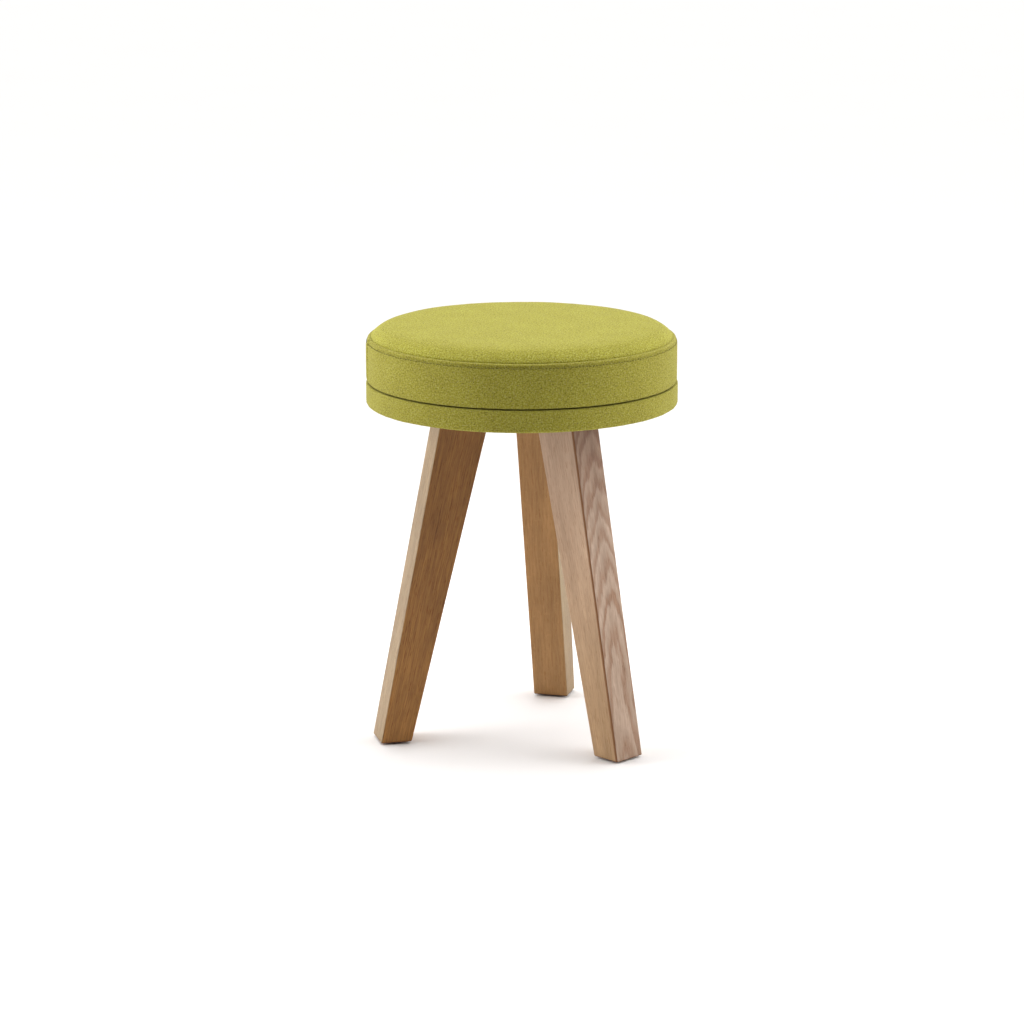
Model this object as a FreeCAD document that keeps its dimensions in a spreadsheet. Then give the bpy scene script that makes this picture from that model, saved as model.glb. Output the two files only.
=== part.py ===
import FreeCAD, Part
import os
import re

import Sketcher
from FreeCAD import Placement, Rotation, Vector

# Upholstered swivel stool on three splayed oak legs, in millimetres.
# The origin is at the middle of the floor under the stool, with +Z up and the front towards -Y.
# A padded base is bolted to the legs.  A boxed cushion turns on it on a thin ring bearing.

DIMENSIONS = [
    # legs and feet
    ("legAngle", 90, "turn of the rear leg from +X, degrees"),
    ("legCount", 3, "legs"),
    ("legWidth", 40, "leg thickness across its broad faces"),
    ("legTop", 376.2, "height of the leg tops and of the underside of the base board"),
    ("topInner", 38, "leg top, inner edge from the middle"),
    ("topOuter", 93.5, "leg top, outer edge from the middle"),
    ("footInner", 131, "foot, inner edge from the middle"),
    ("footOuter", 166, "foot, outer edge from the middle"),
    ("arris", 1.5, "rounding of the long edges of a leg"),
    ("footChamfer", 1, "chamfer round the sole of a leg"),
    ("glideRadius", 11, "foot glide disc"),
    ("glideHeight", 2, "foot glide disc"),
    ("glideCircle", 148.5, "foot glide from the middle"),
    ("stemRadius", 4, "foot glide stem"),
    ("stemLength", 14, "foot glide stem"),
    # leg fixings
    ("boltCircleInner", 56, "inner bolt of a leg from the middle"),
    ("boltCircleOuter", 80, "outer bolt of a leg from the middle"),
    ("boltRadius", 3.95, "leg bolt shank"),
    ("boltLength", 50, "leg bolt, head included"),
    ("boltHeadRadius", 7.95, "leg bolt head"),
    ("boltHeadHeight", 4.4, "leg bolt head"),
    ("boltPoint", 0.6, "leg bolt end chamfer"),
    ("boltClearance", 0.3, "board round the bolt shank"),
    ("boltDriveRadius", 2.9, "hexagon socket, corner to middle"),
    ("boltDriveDepth", 3, "hexagon socket"),
    ("insertRadius", 6.5, "threaded insert, outside"),
    ("insertBore", 4, "threaded insert, inside"),
    ("insertLength", 25, "threaded insert"),
    ("pilotRadius", 4.5, "drilling below the insert"),
    ("pilotExtra", 6, "drilling below the insert"),
    # upholstery
    ("fabric", 1.2, "woven cover"),
    ("baseRadius", 170, "outside of the covered base"),
    ("baseBoardThick", 21, "plywood base board"),
    ("baseWadding", 2, "wadding round the base board"),
    ("foldRadius", 150, "edge of the turned-in cover"),
    ("bendRadius", 2, "inside bend of the cover at a board edge"),
    ("partingGap", 2.2, "between the base and the cushion"),
    ("seatRadius", 169.5, "outside of the cushion"),
    ("seatBoardThick", 12, "plywood seat board"),
    ("foamThick", 42.5, "seat foam"),
    ("seatWadding", 3, "wadding over the foam"),
    ("edgeRadius", 26.5, "rounding of the top edge of the cushion"),
    ("seamAngle", 57, "seam, from the top of the edge rounding, degrees"),
    ("stitchAngle", 68, "top stitching, from the top of the edge rounding, degrees"),
    ("threadRadius", 0.3, "stitching thread"),
    ("dustRadius", 158, "dust cover"),
    ("dustThick", 0.6, "dust cover"),
    ("dustGap", 1, "dust cover clear of a leg"),
    # staples
    ("stapleCount", 36, "staples in each ring"),
    ("stapleWidth", 10, "staple crown, end to end"),
    ("stapleWire", 0.6, "staple wire in the plane of the staple"),
    ("stapleDepth", 1, "staple wire across the plane of the staple"),
    ("stapleLeg", 8, "staple leg"),
    ("coverStapleCircle", 155, "cover staples, and those of the dust cover"),
    ("hiddenStapleCircle", 152, "staples under the dust cover"),
    # ring bearing
    ("bearingHeight", 8, "each ring"),
    ("bearingRecess", 4.4, "recess in the base board"),
    ("recessInner", 92.5, "recess in the base board"),
    ("recessOuter", 137.5, "recess in the base board"),
    ("outerRingInside", 115.9, "fixed ring"),
    ("outerRingOutside", 136, "fixed ring"),
    ("innerRingInside", 94, "turning ring"),
    ("innerRingOutside", 114.1, "turning ring"),
    ("ringStep", 1, "turning ring above the fixed ring"),
    ("ballCount", 36, "balls"),
    ("ballRadius", 2.5, "ball"),
    ("ballCircle", 115, "balls from the middle"),
    ("trackRadius", 2.55, "ball track"),
    ("cageThick", 1, "ball cage"),
    ("cageHeight", 6.6, "ball cage"),
    ("cageHoleRadius", 2.6, "ball cage"),
    ("screwCount", 6, "screws in each ring"),
    ("outerScrewCircle", 126, "fixed ring screws from the middle"),
    ("innerScrewCircle", 104, "turning ring screws from the middle"),
    ("outerScrewLength", 16, "fixed ring screws"),
    ("innerScrewLength", 18, "turning ring screws"),
    ("screwRadius", 1.75, "ring screws"),
    ("screwHeadRadius", 3.4, "ring screw head"),
    ("screwHeadHeight", 2, "ring screw head"),
    ("screwPoint", 3, "ring screw point"),
    ("screwClearance", 0.1, "ring round a screw"),
    ("screwDriveRadius", 1.5, "square socket, corner to middle"),
    ("screwDriveDepth", 1.5, "square socket"),
    ("accessRadius", 6, "hole that lets the turning ring screws in"),
]

# Levels and radii worked out from the driving dimensions
BASE_TOP = "(legTop + baseBoardThick)"
COVER_TOP = "(legTop + baseBoardThick + fabric)"
COVER_BOTTOM = "(legTop - fabric)"
SEAT_BOTTOM = f"({COVER_TOP} + partingGap)"
SEAT_BOARD_BOTTOM = f"({SEAT_BOTTOM} + fabric)"
FOAM_BOTTOM = f"({SEAT_BOARD_BOTTOM} + seatBoardThick)"
FOAM_TOP = f"({FOAM_BOTTOM} + foamThick)"
WADDING_TOP = f"({FOAM_TOP} + seatWadding)"
SEAT_TOP = f"({WADDING_TOP} + fabric)"
BASE_BOARD_RADIUS = "(baseRadius - fabric - baseWadding)"
SEAT_BOARD_RADIUS = "(seatRadius - fabric - seatWadding)"
EDGE_RADIUS_IN = "(seatRadius - edgeRadius)"  # centre of the edge rounding
EDGE_LEVEL = f"({SEAT_TOP} - edgeRadius)"
RECESS_FLOOR = f"({BASE_TOP} - bearingRecess)"
INNER_RING_BOTTOM = f"({RECESS_FLOOR} + ringStep)"
BALL_LEVEL = f"({RECESS_FLOOR} + (bearingHeight + ringStep) / 2)"

LEFT = 1  # an arc that turns anticlockwise from its start to its end
RIGHT = -1

doc = FreeCAD.newDocument("three_leg_stool")
sheet = doc.addObject("Spreadsheet::Sheet", "Dims")


def fillSheet():
    for row, (alias, value, note) in enumerate(DIMENSIONS, start=1):
        sheet.set(f"A{row}", note)
        sheet.set(f"B{row}", str(value))
        sheet.setAlias(f"B{row}", alias)
    doc.recompute()


ALIASES = {alias for alias, _, _ in DIMENSIONS}


def fromSheet(text):
    # the expression with each alias written as a cell of the sheet
    return re.sub(r"[A-Za-z]\w*", lambda word: f"Dims.{word[0]}" if word[0] in ALIASES else word[0], text)


def valueOf(text):
    return float(sheet.evalExpression(fromSheet(text)))


def bind(item, path, text):
    item.setExpression(path, fromSheet(text))


# ---- bodies, sketches and features ----


def addBody(label, turn=None):
    body = doc.addObject("PartDesign::Body", label)
    body.Label = label
    if turn:
        body.Placement = Placement(Vector(), Rotation(Vector(0, 0, 1), valueOf(turn)))
    return body


def originItem(body, role):
    return next(item for item in body.Origin.OriginFeatures if item.Role == role)


def addSketch(body, name, plane, **offset):
    # offset holds expressions for x, y or z of the sketch's origin, in the plane's own directions
    sketch = body.newObject("Sketcher::SketchObject", name)
    sketch.AttachmentSupport = [(originItem(body, plane), "")]
    sketch.MapMode = "FlatFace"
    for axis, text in offset.items():
        bind(sketch, f"AttachmentOffset.Base.{axis}", text)
    return sketch


def arcBetween(start, end, radius, turn):
    chord = end - start
    height = max(radius**2 - chord.Length**2 / 4, 0) ** 0.5
    side = Vector(-chord.y, chord.x, 0).normalize() * turn
    centre = (start + end) / 2 + side * height
    circle = Part.Circle(centre, Vector(0, 0, 1), radius)
    first, last = (start, end) if turn == LEFT else (end, start)
    return Part.ArcOfCircle(circle, circle.parameter(first), circle.parameter(last))


def pinPoint(sketch, index, spot, across, up):
    for kind, text in (("DistanceX", across), ("DistanceY", up)):
        number = sketch.addConstraint(Sketcher.Constraint(kind, -1, 1, index, spot, valueOf(text)))
        bind(sketch, f"Constraints[{number}]", text)


def drawOutline(sketch, steps):
    # A closed outline through the steps' end points.  Each step is (across, up) for a straight
    # edge or (across, up, radius, turn) for an arc, and leads there from the step before.
    ends = [Vector(valueOf(step[0]), valueOf(step[1]), 0) for step in steps]
    edges = []
    for number, step in enumerate(steps):
        start, end = ends[number - 1], ends[number]
        if len(step) == 2:
            index = sketch.addGeometry(Part.LineSegment(start, end))
            edges.append((index, 1, 2))
            continue
        radius, turn = step[2:]
        index = sketch.addGeometry(arcBetween(start, end, valueOf(radius), turn))
        edges.append((index, 1, 2) if turn == LEFT else (index, 2, 1))
    for number, step in enumerate(steps):
        index, _, last = edges[number]
        following, first, _ = edges[(number + 1) % len(edges)]
        sketch.addConstraint(Sketcher.Constraint("Coincident", index, last, following, first))
        pinPoint(sketch, index, last, step[0], step[1])
    for number, step in enumerate(steps):
        if len(step) == 4:
            size = sketch.addConstraint(Sketcher.Constraint("Radius", edges[number][0], valueOf(step[2])))
            bind(sketch, f"Constraints[{size}]", step[2])


def drawCircle(sketch, across, up, radius):
    centre = Vector(valueOf(across), valueOf(up), 0)
    index = sketch.addGeometry(Part.Circle(centre, Vector(0, 0, 1), valueOf(radius)))
    pinPoint(sketch, index, 3, across, up)
    size = sketch.addConstraint(Sketcher.Constraint("Radius", index, valueOf(radius)))
    bind(sketch, f"Constraints[{size}]", radius)


def polygonSteps(sides, radius):
    return [
        (f"{radius} * cos({360 * number / sides})", f"{radius} * sin({360 * number / sides})")
        for number in range(sides)
    ]


def addFeature(body, kind, name, sketch):
    feature = body.newObject(f"PartDesign::{kind}", name)
    feature.Profile = sketch
    sketch.Visibility = False
    return feature


def spin(body, kind, name, sketch):
    # a Revolution or a Groove, a full turn round the sketch's own vertical axis
    feature = addFeature(body, kind, name, sketch)
    feature.ReferenceAxis = (sketch, ["V_Axis"])
    feature.Angle = 360
    return feature


def extrude(body, kind, name, sketch, length, symmetric=False):
    feature = addFeature(body, kind, name, sketch)
    feature.SideType = "Symmetric" if symmetric else "One side"
    bind(feature, "Length", length)
    return feature


def repeatRound(body, originals, count):
    ring = body.newObject("PartDesign::PolarPattern", f"{originals[0].Name}_ring")
    ring.Originals = originals
    ring.Axis = (originItem(body, "Z_Axis"), [""])
    ring.Angle = 360
    bind(ring, "Occurrences", count)
    body.Tip = ring
    return ring


def revolvedBody(label, steps):
    body = addBody(label)
    sketch = addSketch(body, f"{label}_section", "XZ_Plane")
    drawOutline(sketch, steps)
    spin(body, "Revolution", f"{label}_turned", sketch)
    return body


# ---- legs and what holds them ----


def edgesWhere(shape, test):
    return [f"Edge{number}" for number, edge in enumerate(shape.Edges, start=1) if test(edge)]


def makeLeg(label, number):
    # the leg in its own radial plane, then turned to its place
    body = addBody(label, f"legAngle + 360 / legCount * {number}")
    side = addSketch(body, f"{label}_side", "XZ_Plane")
    drawOutline(side, [
        ("footInner", "glideHeight"),
        ("footOuter", "glideHeight"),
        ("topOuter", "legTop"),
        ("topInner", "legTop"),
    ])
    blank = extrude(body, "Pad", f"{label}_blank", side, "legWidth", symmetric=True)
    doc.recompute()

    halfHeight = valueOf("legTop / 2")
    rounded = body.newObject("PartDesign::Fillet", f"{label}_arris")
    rounded.Base = (blank, edgesWhere(blank.Shape, lambda edge: edge.BoundBox.ZLength > halfHeight))
    bind(rounded, "Radius", "arris")
    doc.recompute()

    sole = valueOf("glideHeight")
    chamfered = body.newObject("PartDesign::Chamfer", f"{label}_sole")
    chamfered.Base = (rounded, edgesWhere(rounded.Shape, lambda edge: edge.BoundBox.ZMax < sole + 0.01))
    bind(chamfered, "Size", "footChamfer")

    for place in ("Inner", "Outer"):
        hole = addSketch(body, f"{label}_drill{place}", "XZ_Plane", x=f"boltCircle{place}")
        drawOutline(hole, [
            ("0", "legTop - insertLength - pilotExtra"),
            ("pilotRadius", "legTop - insertLength - pilotExtra"),
            ("pilotRadius", "legTop - insertLength"),
            ("insertRadius", "legTop - insertLength"),
            ("insertRadius", "legTop"),
            ("0", "legTop"),
        ])
        spin(body, "Groove", f"{label}_hole{place}", hole)
    stem = addSketch(body, f"{label}_drillFoot", "XY_Plane", x="glideCircle", z="glideHeight + stemLength")
    drawCircle(stem, "0", "0", "stemRadius")
    extrude(body, "Pocket", f"{label}_holeFoot", stem, "stemLength")
    return body


def makeLegInserts():
    body = addBody("leg_inserts", "legAngle")
    sleeves = []
    for place in ("Inner", "Outer"):
        section = addSketch(body, f"insert{place}_section", "XZ_Plane", x=f"boltCircle{place}")
        drawOutline(section, [
            ("insertBore", "legTop - insertLength"),
            ("insertRadius", "legTop - insertLength"),
            ("insertRadius", "legTop"),
            ("insertBore", "legTop"),
        ])
        sleeves.append(spin(body, "Revolution", f"insert{place}", section))
    repeatRound(body, sleeves, "legCount")
    return body


def boltSteps():
    end = f"{BASE_TOP} - boltLength"
    return [
        ("0", end),
        ("boltRadius - boltPoint", end),
        ("boltRadius", f"{end} + boltPoint"),
        ("boltRadius", f"{BASE_TOP} - boltHeadHeight"),
        ("boltHeadRadius", BASE_TOP),
        ("0", BASE_TOP),
    ]


def boltHoleSteps():
    return [
        ("0", "legTop"),
        ("boltRadius + boltClearance", "legTop"),
        ("boltRadius + boltClearance", f"{BASE_TOP} - boltHeadHeight"),
        ("boltHeadRadius + boltClearance", BASE_TOP),
        ("0", BASE_TOP),
    ]


def makeLegBolts():
    body = addBody("leg_bolts", "legAngle")
    bolts = []
    for place in ("Inner", "Outer"):
        circle = f"boltCircle{place}"
        section = addSketch(body, f"bolt{place}_section", "XZ_Plane", x=circle)
        drawOutline(section, boltSteps())
        bolts.append(spin(body, "Revolution", f"bolt{place}", section))
    for place in ("Inner", "Outer"):
        socket = addSketch(body, f"bolt{place}_hexagon", "XY_Plane", x=f"boltCircle{place}", z=BASE_TOP)
        drawOutline(socket, polygonSteps(6, "boltDriveRadius"))
        bolts.append(extrude(body, "Pocket", f"bolt{place}_socket", socket, "boltDriveDepth"))
    repeatRound(body, bolts, "legCount")
    return body


def makeFootGlides():
    body = addBody("foot_glides", "legAngle")
    section = addSketch(body, "glide_section", "XZ_Plane", x="glideCircle")
    drawOutline(section, [
        ("0", "0"),
        ("glideRadius", "0"),
        ("glideRadius", "glideHeight"),
        ("stemRadius", "glideHeight"),
        ("stemRadius", "glideHeight + stemLength"),
        ("0", "glideHeight + stemLength"),
    ])
    glide = spin(body, "Revolution", "glide", section)
    repeatRound(body, [glide], "legCount")
    return body


# ---- base ----


def makeBaseBoard():
    body = addBody("base_board", "legAngle")
    section = addSketch(body, "base_board_section", "XZ_Plane")
    drawOutline(section, [
        ("0", "legTop"),
        (BASE_BOARD_RADIUS, "legTop"),
        (BASE_BOARD_RADIUS, BASE_TOP),
        ("recessOuter", BASE_TOP),
        ("recessOuter", RECESS_FLOOR),
        ("recessInner", RECESS_FLOOR),
        ("recessInner", BASE_TOP),
        ("0", BASE_TOP),
    ])
    spin(body, "Revolution", "base_board_turned", section)
    holes = []
    for place in ("Inner", "Outer"):
        hole = addSketch(body, f"base_board_drill{place}", "XZ_Plane", x=f"boltCircle{place}")
        drawOutline(hole, boltHoleSteps())
        holes.append(spin(body, "Groove", f"base_board_hole{place}", hole))
    repeatRound(body, holes, "legCount")
    pilot = addSketch(body, "base_board_pilot_section", "XZ_Plane", x="outerScrewCircle")
    drawOutline(pilot, screwSteps(f"{RECESS_FLOOR} + bearingHeight", "outerScrewLength", -1, "0"))
    repeatRound(body, [spin(body, "Groove", "base_board_pilot", pilot)], "screwCount")
    access = addSketch(body, "base_board_access_circle", "XY_Plane", z=BASE_TOP)
    drawCircle(access, "-innerScrewCircle", "0", "accessRadius")
    extrude(body, "Pocket", "base_board_access", access, "baseBoardThick")
    return body


def makeBaseWadding():
    outside = f"{BASE_BOARD_RADIUS} + baseWadding"
    return revolvedBody("base_wadding", [
        (BASE_BOARD_RADIUS, "legTop"),
        (outside, "legTop + baseWadding", "baseWadding", LEFT),
        (outside, f"{BASE_TOP} - baseWadding"),
        (BASE_BOARD_RADIUS, BASE_TOP, "baseWadding", LEFT),
    ])


def makeBaseCover():
    # fabric round the edge of the base, turned in over the top and under the bottom
    outerBend = "(bendRadius + fabric)"
    return revolvedBody("base_cover", [
        ("foldRadius", COVER_BOTTOM),
        (f"baseRadius - {outerBend}", COVER_BOTTOM),
        ("baseRadius", f"{COVER_BOTTOM} + {outerBend}", outerBend, LEFT),
        ("baseRadius", f"{COVER_TOP} - {outerBend}"),
        (f"baseRadius - {outerBend}", COVER_TOP, outerBend, LEFT),
        ("foldRadius", COVER_TOP),
        ("foldRadius", BASE_TOP),
        (f"baseRadius - {outerBend}", BASE_TOP),
        ("baseRadius - fabric", f"{BASE_TOP} - bendRadius", "bendRadius", RIGHT),
        ("baseRadius - fabric", "legTop + bendRadius"),
        (f"baseRadius - {outerBend}", "legTop", "bendRadius", RIGHT),
        ("foldRadius", "legTop"),
    ])


def makeDustCover():
    body = addBody("dust_cover", "legAngle")
    disc = addSketch(body, "dust_cover_circle", "XY_Plane", z=f"{COVER_BOTTOM} - dustThick")
    drawCircle(disc, "0", "0", "dustRadius")
    extrude(body, "Pad", "dust_cover_sheet", disc, "dustThick")
    slot = addSketch(body, "dust_cover_leg_outline", "XY_Plane", z=COVER_BOTTOM)
    drawOutline(slot, [
        ("topInner - dustGap", "-legWidth / 2 - dustGap"),
        ("topOuter + dustGap", "-legWidth / 2 - dustGap"),
        ("topOuter + dustGap", "legWidth / 2 + dustGap"),
        ("topInner - dustGap", "legWidth / 2 + dustGap"),
    ])
    repeatRound(body, [extrude(body, "Pocket", "dust_cover_leg_hole", slot, "dustThick")], "legCount")
    return body


def makeStaples(label, circle, crown, way, turn=None):
    # staples with their crowns at one level, driven up (way 1) or down (way -1)
    body = addBody(label, turn)
    outline = addSketch(body, f"{label}_outline", "YZ_Plane", z=circle)
    inner, tip = f"{crown} + {way} * stapleWire", f"{crown} + {way} * stapleLeg"
    drawOutline(outline, [
        ("-stapleWidth / 2", crown),
        ("-stapleWidth / 2", tip),
        ("-stapleWidth / 2 + stapleWire", tip),
        ("-stapleWidth / 2 + stapleWire", inner),
        ("stapleWidth / 2 - stapleWire", inner),
        ("stapleWidth / 2 - stapleWire", tip),
        ("stapleWidth / 2", tip),
        ("stapleWidth / 2", crown),
    ])
    staple = extrude(body, "Pad", f"{label}_staple", outline, "stapleDepth", symmetric=True)
    repeatRound(body, [staple], "stapleCount")
    return body


# ---- ring bearing ----


def trackSteps(wall, first, last, turn):
    # the ball track cut into a ring's wall, from one side of the track to the other
    half = f"sqrt(trackRadius ^ 2 - ({wall} - ballCircle) ^ 2)"
    return [
        (wall, f"{BALL_LEVEL} {first} {half}"),
        (wall, f"{BALL_LEVEL} {last} {half}", "trackRadius", turn),
    ]


def screwSteps(head, length, way, clearance):
    # a countersunk screw, or the hole round it, from its head level; way is 1 up or -1 down
    return [
        ("0", head),
        (f"screwHeadRadius + {clearance}", head),
        (f"screwRadius + {clearance}", f"{head} + {way} * screwHeadHeight"),
        (f"screwRadius + {clearance}", f"{head} + {way} * ({length} - screwPoint)"),
        ("0", f"{head} + {way} * {length}"),
    ]


def drillRing(body, circle, head, length, way):
    drill = addSketch(body, f"{body.Label}_drill", "XZ_Plane", x=circle)
    drawOutline(drill, screwSteps(head, length, way, "screwClearance"))
    repeatRound(body, [spin(body, "Groove", f"{body.Label}_hole", drill)], "screwCount")


def makeOuterRing():
    top = f"{RECESS_FLOOR} + bearingHeight"
    body = revolvedBody("bearing_outer_ring", [
        ("outerRingInside", RECESS_FLOOR),
        ("outerRingOutside", RECESS_FLOOR),
        ("outerRingOutside", top),
        ("outerRingInside", top),
        *trackSteps("outerRingInside", "+", "-", RIGHT),
    ])
    body.Placement = Placement(Vector(), Rotation(Vector(0, 0, 1), valueOf("legAngle")))
    drillRing(body, "outerScrewCircle", top, "outerScrewLength", -1)
    return body


def makeInnerRing():
    top = f"{INNER_RING_BOTTOM} + bearingHeight"
    body = revolvedBody("bearing_inner_ring", [
        ("innerRingInside", INNER_RING_BOTTOM),
        ("innerRingOutside", INNER_RING_BOTTOM),
        *trackSteps("innerRingOutside", "-", "+", RIGHT),
        ("innerRingOutside", top),
        ("innerRingInside", top),
    ])
    drillRing(body, "innerScrewCircle", INNER_RING_BOTTOM, "innerScrewLength", 1)
    return body


def makeBalls():
    body = addBody("bearing_balls")
    section = addSketch(body, "ball_section", "XZ_Plane", x="ballCircle")
    drawOutline(section, [
        ("0", f"{BALL_LEVEL} - ballRadius"),
        ("ballRadius", BALL_LEVEL, "ballRadius", LEFT),
        ("0", f"{BALL_LEVEL} + ballRadius", "ballRadius", LEFT),
    ])
    repeatRound(body, [spin(body, "Revolution", "ball", section)], "ballCount")
    return body


def makeCage():
    inside, outside = "ballCircle - cageThick / 2", "ballCircle + cageThick / 2"
    bottom, top = f"{BALL_LEVEL} - cageHeight / 2", f"{BALL_LEVEL} + cageHeight / 2"
    body = revolvedBody("bearing_cage", [(inside, bottom), (outside, bottom), (outside, top), (inside, top)])
    window = addSketch(body, "cage_window", "YZ_Plane", z=f"{outside} + cageThick")
    drawCircle(window, "0", BALL_LEVEL, "cageHoleRadius")
    repeatRound(body, [extrude(body, "Pocket", "cage_hole", window, "cageThick * 3")], "ballCount")
    return body


def makeScrews(label, circle, head, length, way, turn=None):
    body = addBody(label, turn)
    section = addSketch(body, f"{label}_section", "XZ_Plane", x=circle)
    drawOutline(section, screwSteps(head, length, way, "0"))
    screw = spin(body, "Revolution", f"{label}_screw", section)
    # a pocket cuts downwards, so the socket of a screw driven up starts at its own depth
    start = head if way < 0 else f"{head} + screwDriveDepth"
    square = addSketch(body, f"{label}_square", "XY_Plane", x=circle, z=start)
    drawOutline(square, polygonSteps(4, "screwDriveRadius"))
    socket = extrude(body, "Pocket", f"{label}_socket", square, "screwDriveDepth")
    repeatRound(body, [screw, socket], "screwCount")
    return body


# ---- cushion ----


def edgePoint(inset, angle):
    # a point on the rounded top edge of the cushion, a little inside its outer surface
    radius = f"(edgeRadius - {inset})"
    return f"{EDGE_RADIUS_IN} + {radius} * sin({angle})", f"{EDGE_LEVEL} + {radius} * cos({angle})"


def makeSeatBoard():
    body = addBody("seat_board")
    disc = addSketch(body, "seat_board_circle", "XY_Plane", z=SEAT_BOARD_BOTTOM)
    drawCircle(disc, "0", "0", SEAT_BOARD_RADIUS)
    extrude(body, "Pad", "seat_board_sheet", disc, "seatBoardThick")
    pilot = addSketch(body, "seat_board_pilot_section", "XZ_Plane", x="innerScrewCircle")
    drawOutline(pilot, screwSteps(INNER_RING_BOTTOM, "innerScrewLength", 1, "0"))
    repeatRound(body, [spin(body, "Groove", "seat_board_pilot", pilot)], "screwCount")
    return body


def makeSeatFoam():
    return revolvedBody("seat_foam", [
        ("0", FOAM_BOTTOM),
        (SEAT_BOARD_RADIUS, FOAM_BOTTOM),
        (SEAT_BOARD_RADIUS, EDGE_LEVEL),
        (EDGE_RADIUS_IN, FOAM_TOP, "edgeRadius - fabric - seatWadding", LEFT),
        ("0", FOAM_TOP),
    ])


def makeSeatWadding():
    outside = "seatRadius - fabric"
    return revolvedBody("seat_wadding", [
        (SEAT_BOARD_RADIUS, SEAT_BOARD_BOTTOM),
        (f"{outside} - bendRadius", SEAT_BOARD_BOTTOM),
        (outside, f"{SEAT_BOARD_BOTTOM} + bendRadius", "bendRadius", LEFT),
        (outside, EDGE_LEVEL),
        (EDGE_RADIUS_IN, WADDING_TOP, "edgeRadius - fabric", LEFT),
        ("0", WADDING_TOP),
        ("0", FOAM_TOP),
        (EDGE_RADIUS_IN, FOAM_TOP),
        (SEAT_BOARD_RADIUS, EDGE_LEVEL, "edgeRadius - fabric - seatWadding", RIGHT),
    ])


def makeSeatCoverTop():
    return revolvedBody("seat_cover_top", [
        ("0", WADDING_TOP),
        (EDGE_RADIUS_IN, WADDING_TOP),
        (*edgePoint("fabric", "seamAngle"), "edgeRadius - fabric", RIGHT),
        edgePoint("0", "seamAngle"),
        (EDGE_RADIUS_IN, SEAT_TOP, "edgeRadius", LEFT),
        ("0", SEAT_TOP),
    ])


def makeSeatCoverSide():
    outerBend = "(bendRadius + fabric)"
    return revolvedBody("seat_cover_side", [
        ("foldRadius", SEAT_BOTTOM),
        (f"seatRadius - {outerBend}", SEAT_BOTTOM),
        ("seatRadius", f"{SEAT_BOTTOM} + {outerBend}", outerBend, LEFT),
        ("seatRadius", EDGE_LEVEL),
        (*edgePoint("0", "seamAngle"), "edgeRadius", LEFT),
        edgePoint("fabric", "seamAngle"),
        ("seatRadius - fabric", EDGE_LEVEL, "edgeRadius - fabric", RIGHT),
        ("seatRadius - fabric", f"{SEAT_BOARD_BOTTOM} + bendRadius"),
        (f"seatRadius - {outerBend}", SEAT_BOARD_BOTTOM, "bendRadius", RIGHT),
        ("foldRadius", SEAT_BOARD_BOTTOM),
    ])


def makeTopstitch():
    # a ring of thread lying on the side strip, below the seam
    body = addBody("seat_topstitch")
    section = addSketch(body, "seat_topstitch_section", "XZ_Plane")
    drawCircle(section, *edgePoint("-threadRadius", "stitchAngle"), "threadRadius")
    spin(body, "Revolution", "seat_topstitch_ring", section)
    return body


# ---- the whole stool ----


def checkDocument(bodies):
    for item in doc.Objects:
        if "Invalid" in item.State or "Error" in item.State:
            raise RuntimeError(f"{item.Label} failed: {item.State}")
    for body in bodies:
        if body.Shape.isNull() or not body.Shape.isValid():
            raise RuntimeError(f"{body.Label} has no valid shape")
        for feature in body.Group:
            if feature.TypeId in ("PartDesign::Pocket", "PartDesign::Groove"):
                checkCut(feature)


def checkCut(feature):
    if feature.Shape.Volume > feature.BaseFeature.Shape.Volume - 0.001:
        raise RuntimeError(f"{feature.Label} cuts nothing")


fillSheet()
ringTop = f"{RECESS_FLOOR} + bearingHeight"
halfPitch = "180 / stapleCount"
bodies = [
    makeLeg("leg_rear", 0),
    makeLeg("leg_front_left", 1),
    makeLeg("leg_front_right", 2),
    makeLegInserts(),
    makeLegBolts(),
    makeFootGlides(),
    makeBaseBoard(),
    makeBaseWadding(),
    makeBaseCover(),
    makeStaples("base_staples_top", "coverStapleCircle", COVER_TOP, -1),
    makeStaples("base_staples_under", "hiddenStapleCircle", COVER_BOTTOM, 1),
    makeDustCover(),
    makeStaples("dust_cover_staples", "coverStapleCircle",
                f"{COVER_BOTTOM} - dustThick - stapleWire", 1, halfPitch),
    makeOuterRing(),
    makeScrews("bearing_outer_screws", "outerScrewCircle", ringTop, "outerScrewLength", -1, "legAngle"),
    makeBalls(),
    makeCage(),
    makeInnerRing(),
    makeScrews("bearing_inner_screws", "innerScrewCircle", INNER_RING_BOTTOM, "innerScrewLength", 1),
    makeSeatBoard(),
    makeSeatFoam(),
    makeSeatWadding(),
    makeSeatCoverTop(),
    makeSeatCoverSide(),
    makeStaples("seat_staples", "coverStapleCircle", SEAT_BOTTOM, 1),
    makeTopstitch(),
]
doc.recompute()
checkDocument(bodies)

os.makedirs("parts", exist_ok=True)
for body in bodies:
    body.Shape.exportStep(f"parts/{body.Label}.step")
    box = body.Shape.BoundBox
    print(f"{body.Label:22} {len(body.Shape.Solids):3} solids {body.Shape.Volume / 1000:9.1f} cm3"
          f"  z {box.ZMin:.2f} to {box.ZMax:.2f}")
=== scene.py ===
import math

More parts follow.
